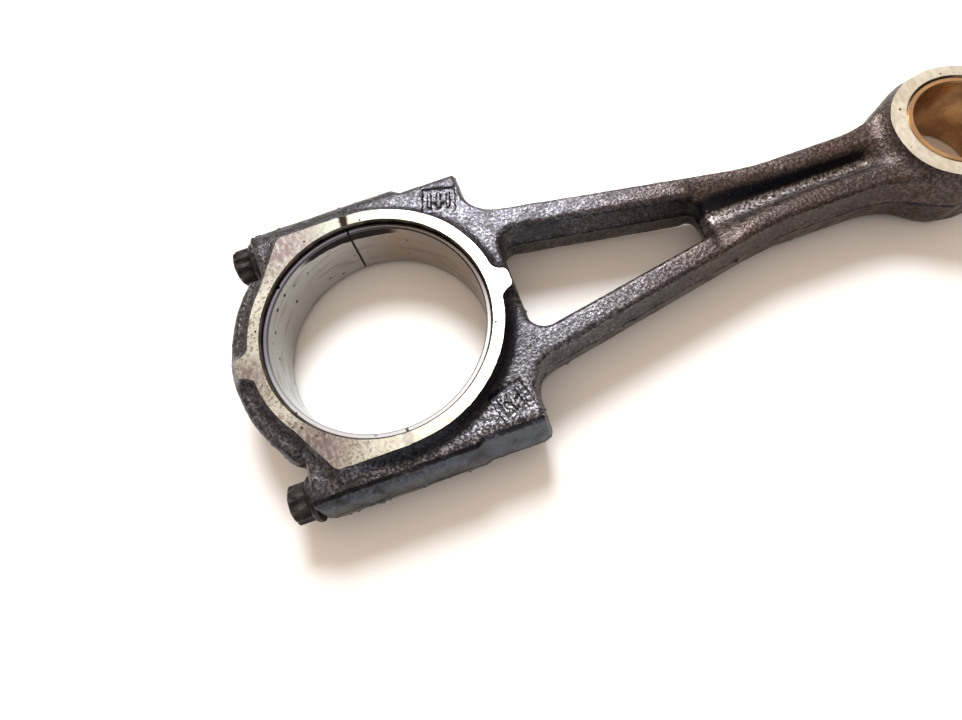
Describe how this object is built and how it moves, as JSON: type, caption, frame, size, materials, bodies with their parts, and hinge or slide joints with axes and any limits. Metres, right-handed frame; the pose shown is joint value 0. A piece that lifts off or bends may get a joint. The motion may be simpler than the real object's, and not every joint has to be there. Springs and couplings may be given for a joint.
{
  "type": "connecting rod",
  "caption": "Forged I-section connecting rod with a long window in its shank, a split big end with bolted cap and bearing shells, and a bushed small end.",
  "frame": {"origin": "centre of the big-end bore, midway between its machined side faces", "axes": "+X points from the big end to the small end along the shank, +Y across the bolt bosses, +Z along both bores"},
  "size_m": [0.176, 0.0676, 0.018],
  "materials": {
    "forged_steel": "as-forged dark oily steel with machined bright faces",
    "shell_metal": "satin grey bearing metal on a steel back",
    "bush_bronze": "bored bronze, oily",
    "bolt_steel": "black oxide under burnt oil"
  },
  "bodies": {
    "rod_assembly": {"rod": "forged_steel", "upper_bearing_shell": "shell_metal", "small_end_bush": "bush_bronze"},
    "cap_assembly": {"bearing_cap": "forged_steel", "lower_bearing_shell": "shell_metal"},
    "left_bolt": {"left_cap_bolt": "bolt_steel"},
    "right_bolt": {"right_cap_bolt": "bolt_steel"}
  },
  "joints": [
    {"name": "cap_lift_off", "type": "slide", "parent": "rod_assembly", "child": "cap_assembly", "axis": [-1, 0, 0], "range_m": [0, 0.02]},
    {"name": "left_bolt_draw", "type": "slide", "parent": "cap_assembly", "child": "left_bolt", "axis": [-1, 0, 0], "range_m": [0, 0.04]},
    {"name": "right_bolt_draw", "type": "slide", "parent": "cap_assembly", "child": "right_bolt", "axis": [-1, 0, 0], "range_m": [0, 0.04]}
  ]
}
